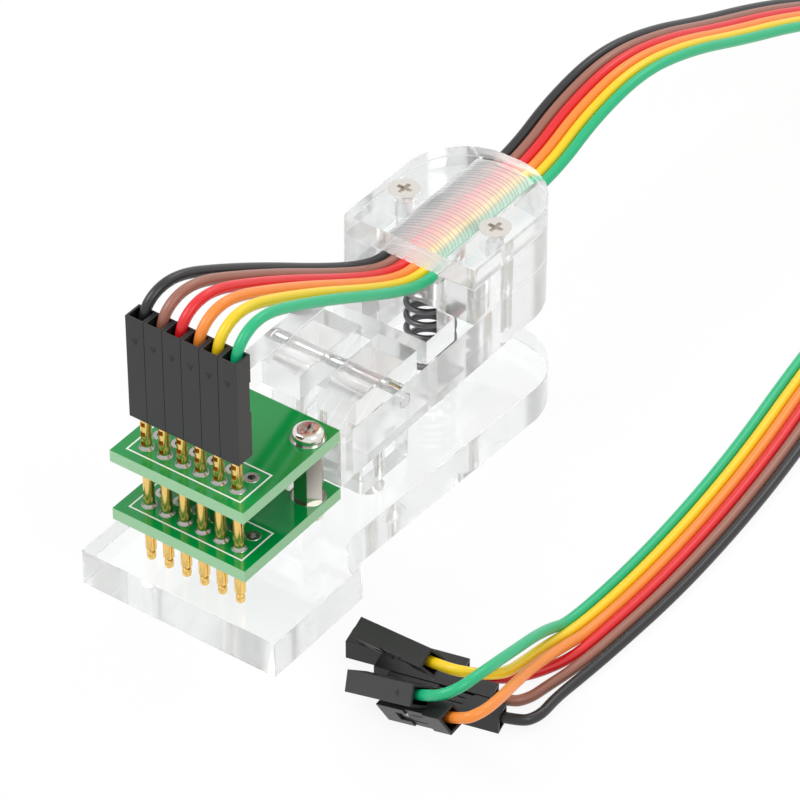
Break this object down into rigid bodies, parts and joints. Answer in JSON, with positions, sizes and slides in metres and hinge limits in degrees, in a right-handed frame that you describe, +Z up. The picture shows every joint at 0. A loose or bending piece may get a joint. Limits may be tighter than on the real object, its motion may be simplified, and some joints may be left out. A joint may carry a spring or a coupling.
{
  "type": "circuit board test clip",
  "caption": "Clear spring clip that presses a row of sprung probes on a circuit board and brings their leads out as a ribbon with loose sockets.",
  "frame": {"origin": "under the middle of the clip, on the surface that the base stands on", "axes": "+X along the row of probes to the right as seen from the jaw, +Y from the jaw to the finger end, +Z up"},
  "size_m": [0.0573, 0.1672, 0.0424],
  "materials": {
    "clear_acrylic": "clear sheet with cut edges",
    "green_board": "solder mask",
    "gold_plating": "plated",
    "bright_steel": "bright",
    "dark_spring_steel": "dark drawn wire",
    "nickel_brass": "nickel plated",
    "tinned_bronze": "tinned",
    "black_nylon": "fine texture",
    "black_insulation": "satin",
    "brown_insulation": "satin",
    "red_insulation": "satin",
    "orange_insulation": "satin",
    "yellow_insulation": "satin",
    "green_insulation": "satin"
  },
  "bodies": {
    "base": {"base_plate": "clear_acrylic", "pivot_post_left": "clear_acrylic", "pivot_post_right": "clear_acrylic", "post_screws": "bright_steel", "spring_seat_screw": "bright_steel", "pivot_pin": "bright_steel", "return_spring": "dark_spring_steel"},
    "lever": {"lever_arm": "clear_acrylic", "cable_saddle": "clear_acrylic", "cable_cover": "clear_acrylic", "cover_screws": "bright_steel", "lower_board": "green_board", "upper_board": "green_board", "board_standoffs": "nickel_brass", "upper_board_screws": "bright_steel", "lower_board_screws": "bright_steel", "front_terminals": "tinned_bronze", "loose_terminals": "tinned_bronze", "probe_barrel_1": "gold_plating", "probe_spring_1": "bright_steel", "probe_barrel_2": "gold_plating", "probe_spring_2": "bright_steel", "probe_barrel_3": "gold_plating", "probe_spring_3": "bright_steel", "probe_barrel_4": "gold_plating", "probe_spring_4": "bright_steel", "probe_barrel_5": "gold_plating", "probe_spring_5": "bright_steel", "probe_barrel_6": "gold_plating", "probe_spring_6": "bright_steel", "front_socket_black": "black_nylon", "loose_socket_black": "black_nylon", "held_lead_black": "black_insulation", "free_lead_black": "black_insulation", "front_socket_brown": "black_nylon", "loose_socket_brown": "black_nylon", "held_lead_brown": "brown_insulation", "free_lead_brown": "brown_insulation", "front_socket_red": "black_nylon", "loose_socket_red": "black_nylon", "held_lead_red": "red_insulation", "free_lead_red": "red_insulation", "front_socket_orange": "black_nylon", "loose_socket_orange": "black_nylon", "held_lead_orange": "orange_insulation", "free_lead_orange": "orange_insulation", "front_socket_yellow": "black_nylon", "loose_socket_yellow": "black_nylon", "held_lead_yellow": "yellow_insulation", "free_lead_yellow": "yellow_insulation", "front_socket_green": "black_nylon", "loose_socket_green": "black_nylon", "held_lead_green": "green_insulation", "free_lead_green": "green_insulation"},
    "plunger_1": {"probe_plunger_1": "gold_plating"},
    "plunger_2": {"probe_plunger_2": "gold_plating"},
    "plunger_3": {"probe_plunger_3": "gold_plating"},
    "plunger_4": {"probe_plunger_4": "gold_plating"},
    "plunger_5": {"probe_plunger_5": "gold_plating"},
    "plunger_6": {"probe_plunger_6": "gold_plating"}
  },
  "joints": [
    {"name": "lever_hinge", "type": "hinge", "parent": "base", "child": "lever", "pos_m": [0, -0.0017, 0.0174], "axis": [-1, 0, 0], "range_deg": [0, 12], "stiffness_Nm_per_rad": 0.3, "springref_deg": -20.05, "deforming": ["return_spring"]},
    {"name": "plunger_slide_1", "type": "slide", "parent": "lever", "child": "plunger_1", "axis": [0, 0, 1], "range_m": [0, 0.0015], "stiffness_N_per_m": 300, "springref_m": -0.0005, "deforming": ["probe_spring_1"]},
    {"name": "plunger_slide_2", "type": "slide", "parent": "lever", "child": "plunger_2", "axis": [0, 0, 1], "range_m": [0, 0.0015], "stiffness_N_per_m": 300, "springref_m": -0.0005, "deforming": ["probe_spring_2"]},
    {"name": "plunger_slide_3", "type": "slide", "parent": "lever", "child": "plunger_3", "axis": [0, 0, 1], "range_m": [0, 0.0015], "stiffness_N_per_m": 300, "springref_m": -0.0005, "deforming": ["probe_spring_3"]},
    {"name": "plunger_slide_4", "type": "slide", "parent": "lever", "child": "plunger_4", "axis": [0, 0, 1], "range_m": [0, 0.0015], "stiffness_N_per_m": 300, "springref_m": -0.0005, "deforming": ["probe_spring_4"]},
    {"name": "plunger_slide_5", "type": "slide", "parent": "lever", "child": "plunger_5", "axis": [0, 0, 1], "range_m": [0, 0.0015], "stiffness_N_per_m": 300, "springref_m": -0.0005, "deforming": ["probe_spring_5"]},
    {"name": "plunger_slide_6", "type": "slide", "parent": "lever", "child": "plunger_6", "axis": [0, 0, 1], "range_m": [0, 0.0015], "stiffness_N_per_m": 300, "springref_m": -0.0005, "deforming": ["probe_spring_6"]}
  ]
}
